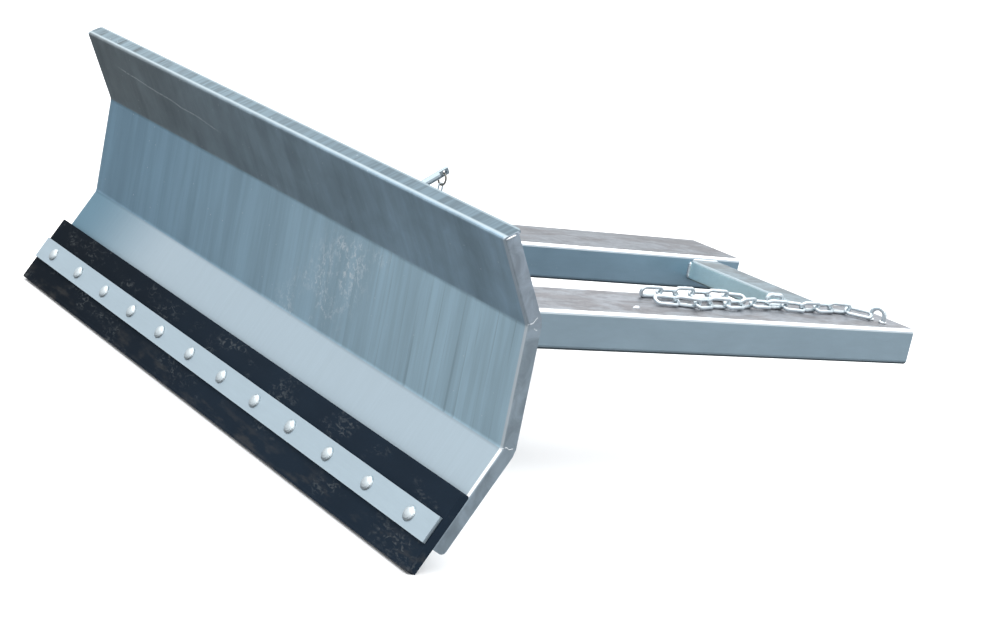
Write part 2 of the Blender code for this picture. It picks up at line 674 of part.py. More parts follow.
def make_lock_pin(axis):
    """The bent drop pin with its collar, placed from its own vertical axis, and the guide it slides in."""
    tangent = PIN_BEND_RADIUS * math.tan(PIN_LEAN / 2)
    bend_centre = (PIN_BEND_RADIUS, PIN_BEND_Z - tangent)
    bend = arc(bend_centre, PIN_BEND_RADIUS, math.pi, math.pi - PIN_LEAN, 6)
    end = handle_point(PIN_HANDLE)
    route = [(0, 0, PIN_TIP), *[(0, y, z) for y, z in bend], (0, end.x, end.y)]
    look = make_material("lock_pin", ZINC_BRIGHT)
    pin = add_part("lock_pin", rod_mesh("lock_pin", route, PIN_RADIUS, resolution=4), look,
                   (0, 0, BEND_Z), axis, smooth=True)
    bevel = pin.modifiers.new("round_ends", "BEVEL")
    bevel.width = PIN_END_ROUND
    bevel.segments = 3
    bevel.limit_method = "ANGLE"
    bevel.angle_limit = math.radians(60)

    eye = handle_point(PIN_HANDLE - EYE_BACK)
    along = Matrix.Rotation(-PIN_LEAN, 4, "X")
    place = Matrix.Translation((0, eye.x, eye.y)) @ along
    past = 0.02
    for side, sign in (("left", -1), ("right", 1)):
        low, high = sorted((sign * EYE_FLAT / 2, sign * past))
        flat = box_mesh("eye_flat_" + side, (low, -past, EYE_BACK - EYE_FLAT_LENGTH), (high, past, past))
        flat.transform(place)
        cut(pin, flat, "eye_flat_" + side, (0, 0, BEND_Z), axis)
    turn = Matrix.Translation((0, eye.x, eye.y)) @ Matrix.Rotation(math.pi / 2, 4, "Y")
    hole = round_mesh("eye_hole", EYE_RADIUS, -past, past, 20, turn=turn)
    cut(pin, hole, "eye_hole", (0, 0, BEND_Z), axis)

    collar = plate_mesh("pin_collar", circle((0, 0), COLLAR_RADIUS), COLLAR, [circle((0, 0), COLLAR_BORE)])
    add_part("pin_collar", collar, look, (0, 0, COLLAR_Z + COLLAR / 2 + BEND_Z), axis)
    low = SLEEVE_TOP + 2 * GAP + HEAD_PLATE
    guide = plate_mesh("pin_guide", circle((0, 0), GUIDE_RADIUS), GUIDE_TOP - low, [circle((0, 0), GUIDE_BORE)])
    add_part("pin_guide", guide, make_material("pin_guide", ZINC_FRAME),
             world(0, KINGPIN_Y + LOCK_RADIUS, (low + GUIDE_TOP) / 2))
    return eye


def make_pull_links(axis, eye):
    """The ring in the pin's eye and the two short links that hang from it, each on its own hinge point."""
    curve_in_wall = RING_RADIUS - math.sqrt(RING_RADIUS**2 - (EYE_FLAT / 2) ** 2)
    hang = EYE_RADIUS - RING_WIRE - curve_in_wall - 2 * GAP
    ring_axis = Vector((0, eye.x, eye.y + BEND_Z - hang))
    ring_line = [(x, z - RING_RADIUS) for x, z in circle((0, 0), RING_RADIUS, 28)]
    ring = rod_mesh("pin_ring", [(x, 0, z) for x, z in ring_line], RING_WIRE, closed=True)
    add_part("pin_ring", ring, make_material("pin_ring", DARK_STEEL), ring_axis, axis, smooth=True)

    look = make_material("pull_links", ZINC_BRIGHT)
    straight = PULL_LENGTH - 2 * PULL_WIRE
    loop = racetrack(straight, PULL_WIDTH - 2 * PULL_WIRE)
    over_ring = RING_WIRE + PULL_WIRE + GAP
    line = [(0, y, z + over_ring - straight / 2) for z, y in loop]
    first = rod_mesh("pull_link_1", line, PULL_WIRE, closed=True)
    first_axis = ring_axis - Vector((0, 0, 2 * RING_RADIUS))
    add_part("pull_link_1", first, look, first_axis, axis, smooth=True)
    over_link = 2 * PULL_WIRE + GAP
    line = [(x, 0, z + over_link - straight / 2) for z, x in loop]
    second = rod_mesh("pull_link_2", line, PULL_WIRE, closed=True)
    second_axis = first_axis + Vector((0, 0, over_ring - straight))
    add_part("pull_link_2", second, look, second_axis, axis, smooth=True)


def make_chain():
    """The securing chain on the right sleeve: its welded eye, two runs as plain solids, and the connector."""
    reach = ANCHOR_HALF_WIDTH
    straight = ANCHOR_HEIGHT - reach - ANCHOR_WIRE
    arch = arc((0, straight), reach, 0, math.pi, 10)
    upright = [(reach, GAP), *arch, (-reach, GAP)]
    turn = Matrix.Rotation(ANCHOR_TURN, 3, "Z")
    route = [tuple(turn @ Vector((0, y, z))) for y, z in upright]
    eye = rod_mesh("chain_anchor_eye", route, ANCHOR_WIRE, resolution=3)
    add_part("chain_anchor_eye", eye, make_material("chain_anchor_eye", ZINC_BRIGHT),
             world(ANCHOR_X, ANCHOR_Y, SLEEVE_TOP), smooth=True)
    look = make_material("securing_chain", ZINC_BRIGHT)
    lying = SLEEVE_TOP + GAP + CHAIN_RADIUS
    for name, run in (("chain_lower_run", LOWER_RUN), ("chain_return_run", RETURN_RUN)):
        line = [(x, y, 0) for x, y in run]
        mesh = rod_mesh(name, line, CHAIN_RADIUS)
        add_part(name, mesh, look, world(0, 0, lying), smooth=True)
    loop = racetrack(CONNECTOR_LENGTH - 2 * CONNECTOR_WIRE, CONNECTOR_WIDTH - 2 * CONNECTOR_WIRE)
    line = [(0, y, z) for y, z in loop]
    mesh = rod_mesh("chain_connector", line, CONNECTOR_WIRE, closed=True)
    height = SLEEVE_TOP + GAP + CONNECTOR_WIDTH / 2
    add_part("chain_connector", mesh, look, world(*CONNECTOR_PLACE, height), smooth=True)


def main():
    slew_axis = add_axis("slew_axis", world(0, KINGPIN_Y, -BEND_Z))
    slew_axis.rotation_euler.z = REST_SLEW
    bend = add_axis("lower_bend", world(0, 0, 0), turn=PITCH, parent=slew_axis)
    panel = add_axis("lower_panel", world(0, 0, 0), turn=-LOWER_LEAN, parent=slew_axis)
    sheet = make_blade_sheet(bend)
    make_edge(panel, sheet)
    make_sector(slew_axis)
    make_sleeves()
    make_cross_members()
    make_head_plates()
    make_kingpin()
    pin_axis = add_axis("pin_axis", world(0, KINGPIN_Y + LOCK_RADIUS, -BEND_Z))
    eye = make_lock_pin(pin_axis)
    make_pull_links(pin_axis, eye)
    make_chain()


clear_scene()
PARTS = new_collection("snow_plow_blade")
CUTTERS = new_collection("cutters")
main()
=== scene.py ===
"""Looks of the fork-carried snow plow blade: galvanised steel, a rubber edge and a zinc-plated chain.

Distances are in metres. The blade stands across X with its working face towards -Y, and the fork sleeves run
towards +Y. Places are measured from the straight blade's lower bend, which follows from the sleeves' boxes,
or come from a CAD node's own box.
"""
import math
import random

import bmesh
import bpy
from mathutils import Matrix, Vector


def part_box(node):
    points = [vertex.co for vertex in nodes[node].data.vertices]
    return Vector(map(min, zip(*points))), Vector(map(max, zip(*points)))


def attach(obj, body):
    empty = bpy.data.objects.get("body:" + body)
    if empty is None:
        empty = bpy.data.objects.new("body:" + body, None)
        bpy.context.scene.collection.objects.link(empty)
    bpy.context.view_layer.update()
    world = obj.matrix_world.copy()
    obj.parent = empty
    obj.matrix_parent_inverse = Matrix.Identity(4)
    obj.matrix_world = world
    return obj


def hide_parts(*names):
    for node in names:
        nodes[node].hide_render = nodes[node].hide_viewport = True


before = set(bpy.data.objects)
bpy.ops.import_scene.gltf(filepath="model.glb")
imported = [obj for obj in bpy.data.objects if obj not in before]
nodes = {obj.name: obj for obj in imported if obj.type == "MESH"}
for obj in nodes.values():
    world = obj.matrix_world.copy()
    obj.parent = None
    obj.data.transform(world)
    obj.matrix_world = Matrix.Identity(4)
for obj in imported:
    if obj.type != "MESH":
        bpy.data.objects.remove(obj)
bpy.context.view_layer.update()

# Camera: where it stands round the object, in degrees, what it aims at, how far off it is, and its lens and
# sensor in millimetres.
CAMERA_AZIMUTH = 50.065
CAMERA_ELEVATION = 11.7564
CAMERA_ROLL = 12.622
CAMERA_AIM = Vector((0.25169, -0.22546, 0.23876))
CAMERA_DISTANCE = 3.75805
CAMERA_LENS = 81.4793
CAMERA_SENSOR = 36

# The blade: its two upper panels' lengths and lean from upright, half the length of its face, its sheet's
# thickness and its top flange's depth.
UPPER_PANEL = 0.138
MIDDLE_PANEL = 0.180
UPPER_LEAN = math.radians(30.5)
MIDDLE_LEAN = math.radians(1.3)
BLADE_HALF = 0.750
SHEET = 0.004
TOP_FLANGE = 0.030

# The gussets behind the blade: how far from its middle, and half their thickness.
GUSSET_X = 0.070
GUSSET_HALF = 0.004

# The blade's turn about the kingpin at rest, and how far the kingpin stands behind the lower bend.
REST_SLEW = math.radians(-5)
KINGPIN_Y = 0.110

# Where the sleeves' top and rear end stand, measured from the straight blade's lower bend.
SLEEVE_TOP = 0.0965
SLEEVE_REAR = 1.228

# Base colours of the galvanised surfaces, and how metallic they are. A panel has one colour at each end, and
# the change between them is painted light and shade: the fall of tone along the blade.
METALLIC = 0.85
UPPER_LEFT = (0.221, 0.260, 0.278)
UPPER_RIGHT = (0.322, 0.439, 0.526)
MIDDLE_LEFT = (0.212, 0.340, 0.435)
MIDDLE_RIGHT = (0.435, 0.594, 0.681)
LOWER_LEFT = (0.138, 0.246, 0.317)
LOWER_RIGHT = (0.409, 0.491, 0.545)
TOP_LEFT = (0.185, 0.253, 0.292)
TOP_RIGHT = (0.123, 0.178, 0.215)
SIDE_HIGH = (0.376, 0.433, 0.492)
SIDE_LOW = (0.361, 0.432, 0.488)
NEAR_SIDE = (0.400, 0.515, 0.588)
NEAR_TOP = (0.295, 0.312, 0.341)
FAR_SIDE = (0.283, 0.404, 0.495)
FAR_TOP = (0.225, 0.242, 0.267)
TUBE_SIDE = (0.733, 0.942, 0.980)
TUBE_TOP_COLOUR = (0.228, 0.291, 0.327)
BAR_SIDE = (0.422, 0.509, 0.563)
PLATE_SIDE = (0.45, 0.54, 0.60)
PLATE_TOP = (0.50, 0.54, 0.58)
# Painted highlight along the top flange's two long edges.
TOP_EDGE_HIGHLIGHT = (0.42, 0.50, 0.54)
# Painted highlight on the frame's rounded upper corners.
CORNER_HIGHLIGHT = (0.95, 0.97, 0.98)
# Painted shade on the cross tube's rounded upper corners, darker than its sides, dimming their reflection.
TUBE_CORNER_SHADE = (0.34, 0.41, 0.45)
PALE_MARK = (0.80, 0.84, 0.86)
# Painted highlights along the folds at the blade's two ends, one colour for each panel.
FOLD_HIGHLIGHT_UPPER = (0.50, 0.58, 0.64)
FOLD_HIGHLIGHT_MIDDLE = (0.62, 0.68, 0.72)
FOLD_HIGHLIGHT_LOWER = (0.98, 0.98, 0.98)

# What the frame's colours are multiplied by: under a section, as painted shade, and where its top is stained.
UNDERSIDE_SHADE = 0.35
STAIN = (0.72, 0.67, 0.65)

# How far a change of colour at a bend is blurred to each side.
BEND_BLUR = 0.001

# The studio's light by height: -1 is straight down, 0 the horizon and 1 straight up.
SKY_STRENGTH = 2.4
SKY = [(-0.60, (0.045, 0.05, 0.055)), (-0.30, (0.09, 0.10, 0.11)), (-0.08, (0.20, 0.215, 0.23)),
       (0.08, (0.36, 0.38, 0.40)), (0.35, (0.44, 0.455, 0.47)), (0.75, (1.0, 1.0, 1.0))]

# The upper panel's long scratch: how it climbs to the left, and its height over the lower bend at the middle.
SCRATCH_SLOPE = -0.06
SCRATCH_HEIGHT = 0.215

# The scuffed patch on the middle panel: its foot along the blade, how it leans and how far it reaches aside.
SCUFF_X = 0.12
SCUFF_SLOPE = 0.9
SCUFF_REACH = 0.15

# A stray blob of weld on the near sleeve's top: its x and y from the straight blade's lower bend.
WELD_BLOB = (0.281, 0.545)

# The radii of weld beads.
SECTOR_BEAD = 0.0032
GUSSET_BEAD = 0.0028
CROSSING_FRONT_BEAD = 0.0036
CROSSING_BACK_BEAD = 0.0026
CROSSING_TOP_BEAD = 0.0024
HEAD_PLATE_BEAD = 0.0030
ANCHOR_BEAD = 0.0030

# The chain: its wire's radius, the length inside one link, a link's outer width, how many degrees a link may
# stray from its run's pattern, and the least part of the full lift that a flat link gets.
CHAIN_WIRE = 0.0035
CHAIN_PITCH = 0.042
CHAIN_WIDTH = 0.024
ROLL_JITTER = 10
LEAST_LIFT = 0.65

# The chain's two runs: x and y from the straight blade's lower bend, and the two rolls, in degrees, that the
# links of a run take in turn.
CHAIN_RUNS = {
    "lower": [(0.268, 1.156), (0.236, 1.115), (0.236, 1.060), (0.242, 1.005), (0.236, 0.950), (0.238, 0.875),
              (0.256, 0.805), (0.254, 0.755), (0.266, 0.705), (0.252, 0.665), (0.248, 0.622)],
    "return": [(0.206, 0.630), (0.203, 0.690), (0.198, 0.770), (0.198, 0.830), (0.206, 0.900)],
}
CHAIN_ROLLS = {"lower": (28, -64), "return": (82, -30)}

# The quick link: its wire's radius and the radius of its corners.
QUICK_WIRE = 0.0042
QUICK_CORNER = 0.008

FLOOR_SIZE = 400

RIGHT_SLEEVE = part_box("fork_sleeve_right")
LEFT_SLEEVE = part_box("fork_sleeve_left")
CROSS_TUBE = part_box("rear_cross_tube")
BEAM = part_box("front_beam")
BEND = Vector(((LEFT_SLEEVE[0].x + RIGHT_SLEEVE[1].x) / 2, RIGHT_SLEEVE[1].y - SLEEVE_REAR,
               RIGHT_SLEEVE[1].z - SLEEVE_TOP))
KINGPIN = Vector((BEND.x, BEND.y + KINGPIN_Y, 0))
UPPER_BEND = BEND.z + MIDDLE_PANEL * math.cos(MIDDLE_LEAN)
TOP_FOLD = UPPER_BEND + UPPER_PANEL * math.cos(UPPER_LEAN)


# ---------------------------------------------------------------- small helpers

def from_bend(x, y, z):
    """A point of the fork frame, measured from the middle of the straight blade's lower bend."""
    return BEND + Vector((x, y, z))


def on_blade(x, y, z):
    """A point of the blade, measured from the middle of its lower bend, with the blade turned to rest."""
    turned = Matrix.Rotation(REST_SLEW, 3, "Z") @ Vector((x, y - KINGPIN_Y, z))
    return KINGPIN + Vector((0, 0, BEND.z)) + turned


def on_panel(number, x, down, back):
    """A point on panel 0 or 1 from the top: so far along the blade, down the panel and behind its face."""
    leans = (UPPER_LEAN, MIDDLE_LEAN)
    downward = [Vector((0, math.sin(lean), -math.cos(lean))) for lean in leans]
    backward = Vector((0, math.cos(leans[number]), math.sin(leans[number])))
    upper_bend = -downward[1] * MIDDLE_PANEL
    starts = (upper_bend - downward[0] * UPPER_PANEL, upper_bend)
    place = starts[number] + downward[number] * down + backward * back
    return on_blade(x, place.y, place.z)


def new_piece(name, mesh, body, material, smooth=True):
    """Adds a piece that rides on a CAD body, with one material."""
    piece = bpy.data.objects.new(name, mesh)
    bpy.context.scene.collection.objects.link(piece)
    mesh.materials.append(material)
    for face in mesh.polygons:
        face.use_smooth = smooth
    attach(piece, body)
    return piece


def finished_mesh(name, build):
    """The mesh of a filled bmesh, with its faces turned outwards."""
    bmesh.ops.recalc_face_normals(build, faces=build.faces)
    mesh = bpy.data.meshes.new(name)
    build.to_mesh(mesh)
    build.free()
    return mesh


def frame_along(points, closed):
    """For each point of a line: the direction of travel, and two directions across it that turn smoothly."""
    count = len(points)
    frames = []
    across = None
    for index, point in enumerate(points):
        before = points[index - 1] if index > 0 or closed else point
        after = points[(index + 1) % count] if index < count - 1 or closed else point
        along = (after - before).normalized()
        if across is None:
            helper = Vector((0, 0, 1)) if abs(along.z) < 0.9 else Vector((1, 0, 0))
            across = along.cross(helper).normalized()
        across = (across - along * across.dot(along)).normalized()
        frames.append((along, across, along.cross(across)))
    return frames


def sweep(build, points, radii, sides=10, closed=False):
    """Adds a round tube that follows the points, with its own radius at each."""
    rings = []
    for point, radius, (_, across, up) in zip(points, radii, frame_along(points, closed)):
        ring = []
        for step in range(sides):
            angle = 2 * math.pi * step / sides
            outward = math.cos(angle) * across + math.sin(angle) * up
            ring.append(build.verts.new(point + radius * outward))
        rings.append(ring)
    pairs = list(zip(rings, rings[1:]))
    if closed:
        pairs.append((rings[-1], rings[0]))
    for one, two in pairs:
        for step in range(sides):
            following = (step + 1) % sides
            build.faces.new((one[step], one[following], two[following], two[step]))
    if not closed:
        build.faces.new(rings[0])
        build.faces.new(rings[-1])


# ---------------------------------------------------------------- materials

class Look:
    """A material's node tree, with short calls for the nodes that are used here."""

    def __init__(self, name, on_the_blade=False):
        """On the blade, coordinates run along and across it: x from its middle, y from the kingpin."""
        self.material = bpy.data.materials.new(name)
        self.material.use_nodes = True
        self.tree = self.material.node_tree
        self.shader = self.tree.nodes["Principled BSDF"]
        self.place = self.node("ShaderNodeTexCoord").outputs["Object"]
        if on_the_blade:
            straight = self.node("ShaderNodeMapping", vector_type="TEXTURE")
            straight.inputs["Location"].default_value = KINGPIN
            straight.inputs["Rotation"].default_value = (0, 0, REST_SLEW)
            self.tree.links.new(self.place, straight.inputs["Vector"])
            self.place = straight.outputs[0]
        self.axes = self.node("ShaderNodeSeparateXYZ")
        self.tree.links.new(self.place, self.axes.inputs[0])

    def node(self, kind, **settings):
        """A new node of a kind, with its settings."""
        made = self.tree.nodes.new(kind)
        for key, value in settings.items():
            setattr(made, key, value)
        return made

    def feed(self, socket, value):
        """Links a node's output to a socket, or sets the socket to a plain value."""
        if isinstance(value, bpy.types.NodeSocket):
            self.tree.links.new(value, socket)
        else:
            socket.default_value = value

    def math(self, operation, one, two=0.0):
        """The result of a sum on one or two values, each a node's output or a plain number."""
        made = self.node("ShaderNodeMath", operation=operation)
        self.feed(made.inputs[0], one)
        self.feed(made.inputs[1], two)
        return made.outputs[0]

    def facing(self):
        """The X, Y and Z parts of the direction that the surface faces."""
        parts = self.node("ShaderNodeSeparateXYZ")
        self.feed(parts.inputs[0], self.tree.nodes["Texture Coordinate"].outputs["Normal"])
        return parts.outputs

    def stretched(self, scale, shift=(0, 0, 0)):
        """The object's coordinates, scaled by axis: a large scale makes small features."""
        made = self.node("ShaderNodeMapping")
        self.feed(made.inputs["Vector"], self.place)
        made.inputs["Scale"].default_value = scale
        made.inputs["Location"].default_value = shift
        return made.outputs[0]

    def noise(self, scale, shift=(0, 0, 0), detail=3.0, rough=0.55, bend=0.0):
        """A smooth random pattern between 0 and 1, mostly near 0.5."""
        made = self.node("ShaderNodeTexNoise")
        self.feed(made.inputs["Vector"], self.stretched(scale, shift))
        made.inputs["Scale"].default_value = 1.0
        made.inputs["Detail"].default_value = detail
        made.inputs["Roughness"].default_value = rough
        made.inputs["Distortion"].default_value = bend
        return made.outputs["Fac"]

    def dots(self, scale, size, shift=(0, 0, 0)):
        """Scattered round specks: 1 inside a speck and 0 outside."""
        made = self.node("ShaderNodeTexVoronoi", feature="F1")
        self.feed(made.inputs["Vector"], self.stretched(scale, shift))
        made.inputs["Scale"].default_value = 1.0
        return self.between(made.outputs["Distance"], size, size * 0.5)

    def between(self, value, low, high):
        """0 at low, 1 at high, smooth between them. High may be below low."""
        made = self.node("ShaderNodeMapRange", interpolation_type="SMOOTHSTEP")
        low_is_first = low < high
        self.feed(made.inputs["Value"], value)
        made.inputs["From Min"].default_value = low if low_is_first else high
        made.inputs["From Max"].default_value = high if low_is_first else low
        made.inputs["To Min"].default_value = 0.0 if low_is_first else 1.0
        made.inputs["To Max"].default_value = 1.0 if low_is_first else 0.0
        return made.outputs[0]

    def spread(self, value, low, high):
        """A 0 to 1 value, turned into one from low to high, straight."""
        made = self.node("ShaderNodeMapRange")
        self.feed(made.inputs["Value"], value)
        made.inputs["To Min"].default_value = low
        made.inputs["To Max"].default_value = high
        return made.outputs[0]

    def mix(self, amount, one, two, blend="MIX"):
        """A colour that is the first where the amount is 0 and the second where it is 1."""
        made = self.node("ShaderNodeMix", data_type="RGBA", blend_type=blend)
        self.feed(made.inputs[0], amount)
        for socket, value in ((made.inputs[6], one), (made.inputs[7], two)):
            self.feed(socket, value if isinstance(value, bpy.types.NodeSocket) else (*value, 1.0))
        return made.outputs[2]

    def times(self, colour, factor):
        """A colour made lighter or darker by a factor that varies over the surface."""
        grey = self.node("ShaderNodeCombineColor")
        for socket in grey.inputs[:3]:
            self.feed(socket, factor)
        return self.mix(1.0, colour, grey.outputs[0], "MULTIPLY")

    def shaded(self, colour, pattern, at_zero, at_one):
        """A colour multiplied by one factor where the pattern is 0 and by another where it is 1."""
        return self.times(colour, self.spread(pattern, at_zero, at_one))

    def bump(self, height, strength, distance, under=None):
        """A relief from a pattern, on top of another relief if there is one."""
        made = self.node("ShaderNodeBump")
        made.inputs["Strength"].default_value = strength
        made.inputs["Distance"].default_value = distance
        self.feed(made.inputs["Height"], height)
        if under is not None:
            self.feed(made.inputs["Normal"], under)
        return made.outputs[0]

    def done(self, colour, roughness, normal, metallic):
        """Feeds the shader and hands over the material."""
        self.feed(self.shader.inputs["Base Color"], colour)
        self.feed(self.shader.inputs["Roughness"], roughness)
        self.feed(self.shader.inputs["Normal"], normal)
        self.shader.inputs["Metallic"].default_value = metallic
        return self.material


class SheetLook(Look):
    """The blade sheet's node tree, with the masks and patterns that its parts share."""

    def __init__(self, name):
        super().__init__(name, on_the_blade=True)
        self.height = self.axes.outputs["Z"]
        self.across = self.axes.outputs["X"]
        self.aside = self.math("ABSOLUTE", self.across)
        # A ramp along the blade that carries painted light and shade: the panels' colours change with it from
        # end to end.
        self.painted_shade_left_to_right = self.between(self.across, -BLADE_HALF, BLADE_HALF)
        self.above_lower = self.between(self.height, BEND.z - BEND_BLUR, BEND.z + BEND_BLUR)
        self.above_middle = self.between(self.height, UPPER_BEND - BEND_BLUR, UPPER_BEND + BEND_BLUR)
        self.streaks = self.noise((24, 3, 1.8), detail=4, rough=0.65, bend=0.3)
        self.lines = self.noise((95, 8, 2.2), shift=(5, 2, 0), detail=3, rough=0.6)
        self.clouds = self.noise((6, 6, 9), shift=(0, 5, 2), detail=4, rough=0.55, bend=0.4)
        self.blotches = self.noise((30, 30, 24), shift=(1, 3, 5), detail=4, rough=0.6, bend=0.8)
        self.grain = self.noise((420, 420, 420), detail=2, rough=0.6)


def upper_panel(look):
    """Dark zinc with soft streaks and blotches, and painted light that makes it paler to the right."""
    soft_streaks = look.noise((26, 3, 2.5), shift=(9, 4, 0), detail=4, rough=0.65)
    colour = look.mix(look.painted_shade_left_to_right, UPPER_LEFT, UPPER_RIGHT)
    colour = look.shaded(colour, look.between(look.clouds, 0.3, 0.7), 0.88, 1.12)
    colour = look.shaded(colour, look.between(soft_streaks, 0.32, 0.68), 0.91, 1.09)
    return look.shaded(colour, look.between(look.blotches, 0.3, 0.7), 0.95, 1.05)


def middle_panel(look):
    """Blue-grey zinc with upright streaks, fine dark lines on its right half, and painted light that makes it
    paler to the right.
    """
    on_right = look.between(look.across, 0.0, 0.5)
    dark_lines = look.math("MULTIPLY", look.between(look.lines, 0.56, 0.70), on_right)
    colour = look.mix(look.painted_shade_left_to_right, MIDDLE_LEFT, MIDDLE_RIGHT)
    colour = look.shaded(colour, look.between(look.streaks, 0.32, 0.68), 0.90, 1.10)
    return look.shaded(colour, dark_lines, 1.0, 0.80)


def lower_panel(look):
    """Pale, even zinc, with painted shade that darkens it towards the left end."""
    # Painted shade at the blade's left end.
    painted_shade_far_left = look.between(look.across, -0.35, -0.74)
    colour = look.mix(painted_shade_far_left, LOWER_RIGHT, LOWER_LEFT)
    return look.shaded(colour, look.clouds, 0.97, 1.03)


def top_flange(look):
    """Streaked zinc with dark dashes on the left half, painted shade that darkens it to the right, and a
    painted highlight along each of its long edges.
    """
    on_left = look.between(look.across, 0.0, -0.3)
    dashes = look.math("MULTIPLY", look.between(look.noise((60, 14, 14), detail=4), 0.55, 0.66), on_left)
    colour = look.mix(look.painted_shade_left_to_right, TOP_LEFT, TOP_RIGHT)
    colour = look.shaded(colour, look.between(look.lines, 0.35, 0.65), 0.80, 1.18)
    colour = look.shaded(colour, dashes, 1.0, 0.55)
    rise = TOP_FLANGE * math.sin(UPPER_LEAN)
    near_fold = look.between(look.height, TOP_FOLD + rise * 0.32, TOP_FOLD + rise * 0.20)
    near_back = look.between(look.height, TOP_FOLD + rise * 0.86, TOP_FOLD + rise * 0.92)
    # Painted highlight along the fold and along the back edge.
    edge_highlights = look.math("MAXIMUM", near_fold, look.math("MULTIPLY", near_back, 0.6))
    return look.mix(edge_highlights, colour, TOP_EDGE_HIGHLIGHT)


def side_flange(look):
    """Blotched zinc at the blade's two ends."""
    beside_upper = look.between(look.height, UPPER_BEND - 0.02, UPPER_BEND + 0.02)
    colour = look.mix(beside_upper, SIDE_LOW, SIDE_HIGH)
    return look.shaded(colour, look.between(look.blotches, 0.3, 0.7), 0.80, 1.18)


def end_fold_highlights(look, face):
    """The face's colour, with a painted highlight along the fold at each end, brightest on the lower panel.
    """
    # Painted highlight along each end fold.
    on_fold_highlight = look.between(look.aside, BLADE_HALF - 0.0065, BLADE_HALF - 0.0045)
    line = look.mix(look.above_lower, FOLD_HIGHLIGHT_LOWER, FOLD_HIGHLIGHT_MIDDLE)
    line = look.mix(look.above_middle, line, FOLD_HIGHLIGHT_UPPER)
    return look.mix(on_fold_highlight, face, line)


def scuffs(look):
    """1 in the smudges of a leaning, scuffed patch on the middle panel."""
    climb = look.math("MULTIPLY", look.math("SUBTRACT", look.height, BEND.z), SCUFF_SLOPE)
    off_patch = look.math("SUBTRACT", look.math("SUBTRACT", look.across, climb), SCUFF_X)
    in_reach = look.between(look.math("ABSOLUTE", off_patch), SCUFF_REACH, 0.0)
    clumps = look.between(look.noise((14, 14, 14), shift=(8, 0, 3), detail=3), 0.38, 0.56)
    smudges = look.noise((120, 40, 105), shift=(2, 0, 7), detail=5, rough=0.7, bend=0.8)
    below_upper = look.between(look.height, UPPER_BEND, UPPER_BEND - 0.02)
    on_middle = look.math("MULTIPLY", look.above_lower, below_upper)
    patch = look.math("MULTIPLY", look.math("MULTIPLY", in_reach, clumps), look.between(smudges, 0.48, 0.64))
    return look.math("MULTIPLY", patch, on_middle)


def pale_marks(look):
    """How far specks, scuffs and the long scratch whiten the working face."""
    specks = look.math("MULTIPLY", look.dots((46, 46, 46), 0.06), look.above_lower)
    scratch = look.math("MULTIPLY", long_scratch(look), look.between(look.grain, 0.35, 0.6))
    marks = look.math("MAXIMUM", look.math("MULTIPLY", specks, 0.6), look.math("MULTIPLY", scuffs(look), 0.7))
    marks = look.math("MAXIMUM", marks, look.math("MULTIPLY", scratch, 0.6))
    on_front = look.between(look.facing()["Y"], 0.1, -0.1)
    return look.math("MULTIPLY", marks, on_front)


def sheet_zinc():
    """The blade's sheet: a dark, mottled upper panel, a streaked middle panel and a pale lower panel."""
    look = SheetLook("galvanised_blade")
    above_fold = look.between(look.height, TOP_FOLD + 0.001, TOP_FOLD + 0.003)
    on_side = look.between(look.aside, BLADE_HALF - 0.0015, BLADE_HALF - 0.0003)
    brushed = look.noise((230, 20, 9), shift=(3, 1, 0), detail=3, rough=0.7)
    colour = look.mix(look.above_lower, lower_panel(look), middle_panel(look))
    colour = look.mix(look.above_middle, colour, upper_panel(look))
    colour = end_fold_highlights(look, colour)
    colour = look.mix(above_fold, colour, top_flange(look))
    colour = look.mix(on_side, colour, side_flange(look))
    colour = look.shaded(colour, brushed, 0.93, 1.07)
    colour = look.mix(pale_marks(look), colour, PALE_MARK)
    roughness = look.math("ADD", look.spread(look.clouds, 0.38, 0.50), look.math("MULTIPLY", brushed, 0.06))
    relief = look.bump(look.streaks, 0.15, 0.0015)
    relief = look.bump(look.grain, 0.10, 0.0003, relief)
    return look.done(colour, roughness, relief, METALLIC)


def long_scratch(look):
    """1 on a thin scratch that falls gently to the right over the upper panel's left half."""
    sway = look.math("MULTIPLY", look.noise((9, 1, 1), detail=2), 0.010)
    line = look.math("ADD", look.math("MULTIPLY", look.across, SCRATCH_SLOPE), SCRATCH_HEIGHT + BEND.z)
    away = look.math("ABSOLUTE", look.math("SUBTRACT", look.height, look.math("ADD", line, sway)))
    starts = look.between(look.across, -0.66, -0.60)
    stops = look.between(look.across, -0.20, -0.24)
    return look.math("MULTIPLY", look.between(away, 0.0016, 0.0006), look.math("MULTIPLY", starts, stops))


